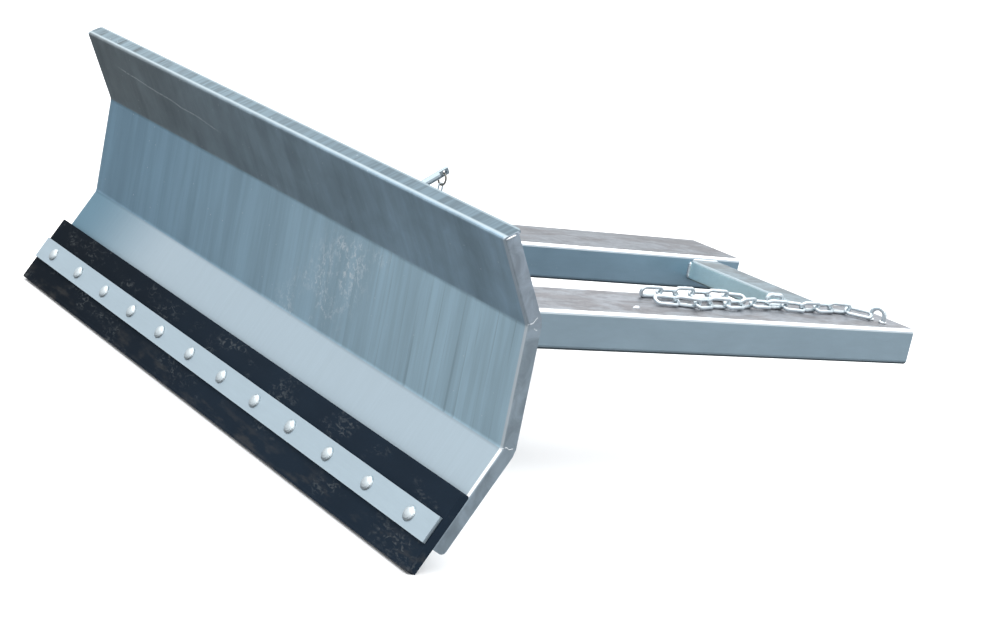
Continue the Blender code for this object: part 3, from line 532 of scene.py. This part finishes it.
def frame_zinc(name, side_colour, top_colour, mottle=0.12, corner=CORNER_HIGHLIGHT):
    """Galvanised hollow sections and plates: even sides, mottled tops, painted light on the rounded upper
    corners (a highlight, but shade on the cross tube) and painted shade on the undersides.
    """
    look = Look(name)
    upward = look.facing()["Z"]
    on_top = look.between(upward, 0.80, 0.97)
    # Painted light on faces that turn partly upwards, the rounded upper corners: a painted highlight, and on
    # the cross tube a painted shade.
    painted_corner_light = look.math("MULTIPLY", look.between(upward, 0.10, 0.30), look.between(upward, 0.99, 0.93))
    # Painted shade on faces that turn downwards.
    below = look.between(upward, -0.15, -0.40)
    clouds = look.noise((9, 5, 9), detail=4, rough=0.55, bend=0.5)
    stains = look.noise((26, 9, 26), shift=(4, 0, 1), detail=5, rough=0.65, bend=0.8)
    hatch = look.noise((75, 34, 75), shift=(6, 1, 2), detail=5, rough=0.75, bend=0.4)
    fine = look.noise((130, 24, 130), shift=(0, 2, 0), detail=4, rough=0.7)
    grain = look.noise((380, 380, 380), detail=2, rough=0.6)
    specks = look.math("MULTIPLY", look.dots((60, 60, 60), 0.05, shift=(2, 7, 1)), 0.5)
    sides = look.shaded(side_colour, clouds, 1 - mottle, 1 + mottle)
    stained = tuple(part * shade for part, shade in zip(top_colour, STAIN))
    tops = look.mix(look.between(stains, 0.40, 0.58), stained, top_colour)
    tops = look.shaded(tops, look.between(hatch, 0.34, 0.66), 0.82, 1.18)
    colour = look.mix(on_top, sides, tops)
    colour = look.shaded(colour, fine, 0.92, 1.08)
    colour = look.mix(specks, colour, PALE_MARK)
    colour = look.mix(painted_corner_light, colour, corner)
    colour = look.shaded(colour, below, 1.0, UNDERSIDE_SHADE)
    relief = look.bump(clouds, 0.15, 0.002)
    relief = look.bump(grain, 0.10, 0.0003, relief)
    return look.done(colour, look.spread(clouds, 0.34, 0.48), relief, METALLIC)


def bar_zinc():
    """The clamp bar's even, pale zinc with faint scratches along it."""
    look = Look("galvanised_bar", on_the_blade=True)
    clouds = look.noise((7, 20, 20), detail=4, rough=0.55)
    brushed = look.noise((18, 260, 260), shift=(2, 0, 4), detail=3, rough=0.7)
    grain = look.noise((420, 420, 420), detail=2, rough=0.6)
    colour = look.shaded(BAR_SIDE, clouds, 0.95, 1.05)
    colour = look.shaded(colour, brushed, 0.95, 1.05)
    relief = look.bump(grain, 0.10, 0.0003)
    return look.done(colour, look.spread(clouds, 0.38, 0.50), relief, METALLIC)


def bright_zinc(name, dark, pale, low_rough=0.22, high_rough=0.42, metallic=0.9):
    """Bright zinc on small parts: chain links, bolts, the pin and weld beads."""
    look = Look(name)
    clouds = look.noise((60, 60, 60), detail=4, rough=0.6, bend=0.4)
    grain = look.noise((700, 700, 700), detail=2, rough=0.6)
    colour = look.mix(clouds, dark, pale)
    colour = look.shaded(colour, grain, 0.90, 1.10)
    roughness = look.spread(clouds, low_rough, high_rough)
    relief = look.bump(clouds, 0.3, 0.0008)
    relief = look.bump(grain, 0.15, 0.0002, relief)
    return look.done(colour, roughness, relief, metallic)


def rubber():
    """Black rubber with a navy cast, painted shade that darkens it to the left, dusty scuffs and brown smears
    low down.
    """
    look = Look("black_rubber", on_the_blade=True)
    look.shader.inputs["Specular IOR Level"].default_value = 0.04
    clouds = look.noise((9, 9, 14), detail=4, rough=0.6)
    fibres = look.noise((300, 60, 60), detail=3, rough=0.7)
    dust_patch = look.between(look.noise((11, 11, 24), shift=(1, 4, 0), detail=4), 0.50, 0.68)
    dust_lines = look.between(look.noise((70, 200, 120), shift=(3, 0, 0), detail=4, bend=1.0), 0.48, 0.68)
    dust = look.math("MULTIPLY", dust_patch, dust_lines)
    low_down = look.between(look.axes.outputs["Z"], 0.055, 0.005)
    smears = look.math("MULTIPLY", low_down, look.between(look.noise((16, 60, 60), detail=4), 0.5, 0.7))
    colour = look.mix(clouds, (0.0065, 0.0120, 0.0200), (0.0115, 0.0205, 0.0330))
    # Painted shade that darkens the rubber towards the left end.
    painted_shade_to_left = look.between(look.axes.outputs["X"], 0.3, -BLADE_HALF)
    colour = look.shaded(colour, painted_shade_to_left, 1.0, 0.45)
    colour = look.mix(look.math("MULTIPLY", dust, 0.30), colour, (0.16, 0.17, 0.17))
    colour = look.mix(look.math("MULTIPLY", smears, 0.22), colour, (0.10, 0.09, 0.075))
    roughness = look.spread(clouds, 0.65, 0.80)
    relief = look.bump(fibres, 0.3, 0.0004)
    relief = look.bump(clouds, 0.2, 0.0015, relief)
    return look.done(colour, roughness, relief, 0.0)


def bronze():
    """A turned bronze bush with fine rings."""
    look = Look("turned_bronze")
    clouds = look.noise((50, 50, 50), detail=4)
    rings = look.noise((20, 20, 1500), detail=2)
    colour = look.mix(clouds, (0.30, 0.17, 0.06), (0.48, 0.30, 0.12))
    return look.done(colour, look.spread(clouds, 0.30, 0.50), look.bump(rings, 0.3, 0.0002), 0.9)


def dark_steel():
    """Dark, slightly brown steel wire."""
    look = Look("dark_ring_steel")
    clouds = look.noise((120, 120, 120), detail=4)
    grain = look.noise((900, 900, 900), detail=2)
    colour = look.mix(clouds, (0.13, 0.12, 0.105), (0.26, 0.245, 0.22))
    return look.done(colour, look.spread(clouds, 0.35, 0.55), look.bump(grain, 0.2, 0.0002), 0.85)


# ---------------------------------------------------------------- the chain

def link_mesh(build, centre, along, side, length, width, wire):
    """Adds one closed chain link: a racetrack of round wire with a small weld bulge on one straight."""
    half_straight = (length - width) / 2
    bow = width / 2 - wire
    arc_steps = 10
    bulge = 1.14
    line = []
    for end in (1, -1):
        for step in range(arc_steps + 1):
            angle = math.pi * step / arc_steps
            line.append((end * (half_straight + bow * math.sin(angle)), end * bow * math.cos(angle)))
        for part in (0.3, 0, -0.3):
            line.append((end * half_straight * part, -end * bow))
    points = [centre + along * u + side * v for u, v in line]
    radii = [wire * (bulge if abs(u) < 0.001 and v > 0 else 1.0) for u, v in line]
    sweep(build, points, radii, sides=12, closed=True)


def smooth_route(points, steps=12):
    """A dense, smooth line through the points."""
    padded = [points[0] * 2 - points[1], *points, points[-1] * 2 - points[-2]]
    dense = []
    for a, b, c, d in zip(padded, padded[1:], padded[2:], padded[3:]):
        for step in range(steps):
            t = step / steps
            dense.append(0.5 * (2 * b + (c - a) * t + (2 * a - 5 * b + 4 * c - d) * t * t
                                + (3 * b - a - 3 * c + d) * t * t * t))
    dense.append(points[-1].copy())
    return dense


def joint_points(route, pitch):
    """Points along a dense line that are one pitch apart in a straight line."""
    halvings = 30
    found = [route[0]]
    for one, two in zip(route, route[1:]):
        while (two - found[-1]).length >= pitch:
            low, high = 0.0, 1.0
            for _ in range(halvings):
                middle = (low + high) / 2
                if (one.lerp(two, middle) - found[-1]).length < pitch:
                    low = middle
                else:
                    high = middle
            found.append(one.lerp(two, high))
            one = found[-1]
    return found


def chain_links(run, material):
    """A run of chain that lies on the sleeve: links one pitch apart, each turned from the last."""
    name = f"{run}_chain_links"
    rolls = CHAIN_ROLLS[run]
    route = [from_bend(x, y, SLEEVE_TOP + CHAIN_WIRE) for x, y in CHAIN_RUNS[run]]
    points = joint_points(smooth_route(route), CHAIN_PITCH)
    length = CHAIN_PITCH + 4 * CHAIN_WIRE
    full_lift = CHAIN_WIDTH / 2 - CHAIN_WIRE
    rng = random.Random(name)
    build = bmesh.new()
    for index, (start, end) in enumerate(zip(points, points[1:])):
        roll = math.radians(rolls[index % len(rolls)] + rng.uniform(-ROLL_JITTER, ROLL_JITTER))
        along = (end - start).normalized()
        flat = along.cross(Vector((0, 0, 1))).normalized()
        up = flat.cross(along)
        side = flat * math.cos(roll) + up * math.sin(roll)
        lift = full_lift * max(LEAST_LIFT, abs(math.sin(roll)))
        centre = (start + end) / 2 + Vector((0, 0, lift))
        link_mesh(build, centre, along, side, length, CHAIN_WIDTH, CHAIN_WIRE)
    piece = new_piece(name, finished_mesh(name, build), "fork_frame", material)
    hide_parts(f"chain_{run}_run")


def quick_link(material):
    """The larger link beside the return run: a standing, squarish loop with a six-sided sleeve nut."""
    low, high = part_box("chain_connector")
    middle = (low + high) / 2
    reach_y = (high.y - low.y) / 2 - QUICK_WIRE
    reach_z = (high.z - low.z) / 2 - QUICK_WIRE
    corner_steps = 6
    line = []
    for quarter in range(4):
        side_y = 1 if quarter in (0, 3) else -1
        side_z = 1 if quarter in (0, 1) else -1
        for step in range(corner_steps + 1):
            angle = math.pi / 2 * quarter + math.pi / 2 * step / corner_steps
            y = side_y * (reach_y - QUICK_CORNER) + QUICK_CORNER * math.cos(angle)
            z = side_z * (reach_z - QUICK_CORNER) + QUICK_CORNER * math.sin(angle)
            line.append(middle + Vector((0, y, z)))
    build = bmesh.new()
    sweep(build, line, [QUICK_WIRE] * len(line), sides=12, closed=True)
    sleeve = [middle + Vector((0, side * reach_y * 0.42, reach_z)) for side in (-1, 1)]
    sweep(build, sleeve, [QUICK_WIRE * 1.12] * 2, sides=6)
    mesh = finished_mesh("chain_quick_link", build)
    piece = new_piece("chain_quick_link", mesh, "fork_frame", material, smooth=False)
    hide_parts("chain_connector")


# ---------------------------------------------------------------- weld beads

def bead(build, points, radius, rng):
    """Adds a weld bead along straight stretches: an uneven round ridge with overlapping ripples."""
    ripple = 0.0045
    tapered = 3
    line = []
    radii = []
    for one, two in zip(points, points[1:]):
        length = (two - one).length
        count = max(3, int(length / (ripple / 3)))
        for step in range(count):
            part = step / count
            line.append(one.lerp(two, part))
            wave = 0.5 + 0.5 * math.sin(2 * math.pi * part * length / ripple)
            radii.append(radius * (0.88 + 0.16 * wave + rng.uniform(-0.04, 0.04)))
    line.append(points[-1])
    radii.append(radius * 0.8)
    for index in range(tapered):
        radii[index] *= (index + 1) / (tapered + 1)
        radii[-1 - index] *= (index + 1) / (tapered + 1)
    sweep(build, line, radii, sides=8)


def weld_piece(name, runs, body, material, seed):
    """One piece that holds several weld beads. A run is its points and its radius."""
    rng = random.Random(seed)
    build = bmesh.new()
    for points, radius in runs:
        bead(build, points, radius, rng)
    return new_piece(name, finished_mesh(name, build), body, material)


def fold_ridges(x):
    """Ridges at one end of the blade, where its side flange was cut and folded: at the top and both bends."""
    places = (
        ((0, 0.0035, 0.002), (0, 0.0035, 0.021)),
        ((0, UPPER_PANEL - 0.001, 0.001), (0, UPPER_PANEL + 0.001, 0.009), (0, UPPER_PANEL - 0.006, 0.022)),
        ((1, 0.0005, 0.009), (1, 0.006, 0.015), (1, 0.005, 0.022)),
        ((1, MIDDLE_PANEL, 0.001), (1, MIDDLE_PANEL - 0.002, 0.007), (1, MIDDLE_PANEL + 0.001, 0.012),
         (1, MIDDLE_PANEL - 0.001, 0.022)),
    )
    radii = (0.0022, 0.0012, 0.0011, 0.0012)
    return [([on_panel(panel, x, down, back) for panel, down, back in line], radius)
            for line, radius in zip(places, radii)]


def down_middle(z):
    """How far down the middle panel a height stands."""
    return MIDDLE_PANEL - (z - BEND.z) / math.cos(MIDDLE_LEAN)


def blade_welds(material):
    """Ridges where the side flange was cut and folded, and the seams of the sector plate and gussets."""
    behind_sheet = SHEET + 0.001
    runs = []
    for side in (-1, 1):
        runs += fold_ridges(side * (BLADE_HALF - 0.0008))
    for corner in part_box("sector_plate"):
        down = down_middle(corner.z)
        for start, end in ((-0.135, -0.078), (-0.062, 0.062), (0.078, 0.135)):
            seam = [on_panel(1, x, down, behind_sheet) for x in (start, end)]
            runs.append((seam, SECTOR_BEAD))
    for name in ("gusset_upper_left", "gusset_upper_right", "gusset_lower_left", "gusset_lower_right"):
        low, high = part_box(name)
        centre = -GUSSET_X if name.endswith("left") else GUSSET_X
        for x in (centre - GUSSET_HALF, centre + GUSSET_HALF):
            seam = [on_panel(1, x, down_middle(z), behind_sheet) for z in (low.z + 0.004, high.z - 0.004)]
            runs.append((seam, GUSSET_BEAD))
    weld_piece("blade_weld_beads", runs, "blade", material, seed=3)


def crossing_beads():
    """Beads at both ends of the cross tube and front beam: up their front and back, and over their top."""
    runs = []
    for x in (LEFT_SLEEVE[1].x + 0.001, RIGHT_SLEEVE[0].x - 0.001):
        for low, high in (CROSS_TUBE, BEAM):
            near, far = low.y - 0.0005, high.y + 0.0005
            bottom, top = low.z + 0.004, high.z - 0.004
            runs.append(([Vector((x, near, bottom)), Vector((x, near, top))], CROSSING_FRONT_BEAD))
            runs.append(([Vector((x, far, bottom)), Vector((x, far, top))], CROSSING_BACK_BEAD))
            over = high.z + 0.0002
            start, end = Vector((x, near + 0.006, over)), Vector((x, far - 0.006, over))
            runs.append(([start, end], CROSSING_TOP_BEAD))
    return runs


def head_plate_beads():
    """Beads along the head plates' rear edges, where they lie on the sleeves."""
    runs = []
    for name in ("upper_head_plate", "lower_head_plate"):
        low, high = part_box(name)
        z = low.z + 0.0012 if name == "upper_head_plate" else high.z - 0.0012
        y = high.y + 0.0012
        for sleeve in (LEFT_SLEEVE, RIGHT_SLEEVE):
            start = max(sleeve[0].x, low.x) + 0.012
            end = min(sleeve[1].x, high.x) - 0.012
            runs.append(([Vector((start, y, z)), Vector((end, y, z))], HEAD_PLATE_BEAD))
    return runs


def anchor_beads():
    """A ring of weld round each foot of the chain's eye."""
    low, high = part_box("chain_anchor_eye")
    reach = 0.005
    feet = (Vector((high.x - reach, high.y - reach, low.z)), Vector((low.x + reach, low.y + reach, low.z)))
    steps = 8
    runs = []
    for foot in feet:
        turns = [math.tau * step / steps for step in range(steps + 1)]
        ring = [foot + Vector((reach * math.cos(turn), reach * math.sin(turn), 0.0012)) for turn in turns]
        runs.append((ring, ANCHOR_BEAD))
    return runs


def stray_weld():
    """A blob on the near sleeve's top, and one at the cross tube's lower front corner by the far sleeve."""
    blob = from_bend(*WELD_BLOB, SLEEVE_TOP)
    corner = Vector((LEFT_SLEEVE[1].x + 0.002, CROSS_TUBE[0].y - 0.001, CROSS_TUBE[0].z + 0.004))
    return [([blob, blob + Vector((0.003, 0.008, 0.0008)), blob + Vector((0.0, 0.014, 0))], 0.0042),
            ([corner, corner + Vector((0.001, 0.001, 0.006))], 0.0046)]


def frame_welds(material):
    """Beads between the frame's parts and at the chain's eye, and stray blobs."""
    runs = crossing_beads() + head_plate_beads() + anchor_beads() + stray_weld()
    weld_piece("frame_weld_beads", runs, "fork_frame", material, seed=5)


# ---------------------------------------------------------------- materials onto the CAD nodes

def give(material, *names):
    """Puts a material on all the slots of some CAD nodes."""
    for name in names:
        for material_slot in nodes[name].material_slots:
            material_slot.material = material


def paint_nodes(fastener, chain, pin):
    """Gives each CAD node its look."""
    bolts = [name for name in nodes if name.startswith("carriage_bolt")]
    nuts = [name for name in nodes if name.startswith("flange_nut")]
    give(sheet_zinc(), "blade_sheet")
    give(frame_zinc("galvanised_near_sleeve", NEAR_SIDE, NEAR_TOP), "fork_sleeve_right")
    give(frame_zinc("galvanised_far_sleeve", FAR_SIDE, FAR_TOP, mottle=0.22), "fork_sleeve_left")
    give(frame_zinc("galvanised_tube", TUBE_SIDE, TUBE_TOP_COLOUR, mottle=0.20, corner=TUBE_CORNER_SHADE),
         "rear_cross_tube")
    give(bar_zinc(), "clamp_bar")
    give(frame_zinc("galvanised_plates", PLATE_SIDE, PLATE_TOP), "front_beam", "upper_head_plate",
         "lower_head_plate", "sector_plate", "gusset_upper_left", "gusset_upper_right", "gusset_lower_left",
         "gusset_lower_right", "upper_spacer", "lower_spacer", "pin_guide")
    give(rubber(), "rubber_edge")
    give(fastener, *bolts, *nuts, "kingpin_bolt", "kingpin_nut")
    give(chain, "chain_anchor_eye", "pull_link_1", "pull_link_2")
    give(pin, "lock_pin", "pin_collar")
    give(dark_steel(), "pin_ring")
    give(bronze(), "pivot_bush")


# ---------------------------------------------------------------- studio and camera

def floor_piece():
    """A plain pale floor that shiny surfaces don't mirror, so that they show the studio instead."""
    bpy.ops.mesh.primitive_plane_add(size=FLOOR_SIZE)
    floor = bpy.context.object
    floor.name = "floor"
    floor.visible_glossy = False
    look = Look("pale_floor")
    clouds = look.noise((0.4, 0.4, 0.4), detail=2)
    colour = look.mix(clouds, (0.90, 0.90, 0.90), (0.91, 0.91, 0.91))
    floor.data.materials.append(look.done(colour, 0.9, look.bump(clouds, 0.02, 0.001), 0.0))


def studio_light():
    """A soft studio on all sides, bright overhead and darker below: its colour follows height alone."""
    world = bpy.data.worlds.new("soft_studio")
    bpy.context.scene.world = world
    world.use_nodes = True
    tree = world.node_tree
    background = tree.nodes["Background"]
    place = tree.nodes.new("ShaderNodeTexCoord")
    axes = tree.nodes.new("ShaderNodeSeparateXYZ")
    ramp = tree.nodes.new("ShaderNodeValToRGB")
    half = tree.nodes.new("ShaderNodeMath")
    half.operation = "MULTIPLY_ADD"
    half.inputs[1].default_value = 0.5
    half.inputs[2].default_value = 0.5
    tree.links.new(place.outputs["Generated"], axes.inputs[0])
    tree.links.new(axes.outputs["Z"], half.inputs[0])
    tree.links.new(half.outputs[0], ramp.inputs[0])
    tree.links.new(ramp.outputs[0], background.inputs["Color"])
    background.inputs["Strength"].default_value = SKY_STRENGTH
    points = ramp.color_ramp.elements
    while len(points) < len(SKY):
        points.new(0.5)
    for point, (height, colour) in zip(points, SKY):
        point.position = (height + 1) / 2
        point.color = (*colour, 1)


def camera():
    """The camera at its measured place, aim and roll."""
    azimuth = math.radians(CAMERA_AZIMUTH)
    elevation = math.radians(CAMERA_ELEVATION)
    back = Vector((math.sin(azimuth) * math.cos(elevation), -math.cos(azimuth) * math.cos(elevation),
                   math.sin(elevation)))
    roll = Matrix.Rotation(math.radians(CAMERA_ROLL), 3, "Z").to_quaternion()
    data = bpy.data.cameras.new("photo_camera")
    data.lens = CAMERA_LENS
    data.sensor_width = CAMERA_SENSOR
    eye = bpy.data.objects.new("photo_camera", data)
    eye.location = CAMERA_AIM + back * CAMERA_DISTANCE
    eye.rotation_mode = "QUATERNION"
    eye.rotation_quaternion = back.to_track_quat("Z", "Y") @ roll
    bpy.context.scene.collection.objects.link(eye)
    bpy.context.scene.camera = eye


def main():
    """Paints the CAD nodes, adds the chain and welds, then sets the studio and camera."""
    zinc_fastener = bright_zinc("zinc_fastener", (0.50, 0.56, 0.58), (0.66, 0.71, 0.73))
    zinc_chain = bright_zinc("zinc_chain_link", (0.54, 0.61, 0.65), (0.72, 0.78, 0.81))
    zinc_pin = bright_zinc("zinc_lock_pin", (0.32, 0.39, 0.43), (0.42, 0.49, 0.53))
    zinc_weld = bright_zinc("zinc_weld", (0.66, 0.71, 0.74), (0.86, 0.89, 0.91), 0.25, 0.4)
    paint_nodes(zinc_fastener, zinc_chain, zinc_pin)
    for run in CHAIN_RUNS:
        chain_links(run, zinc_chain)
    quick_link(zinc_chain)
    blade_welds(zinc_weld)
    frame_welds(zinc_weld)
    floor_piece()
    studio_light()
    camera()


bpy.context.scene.view_settings.view_transform = "Standard"
main()
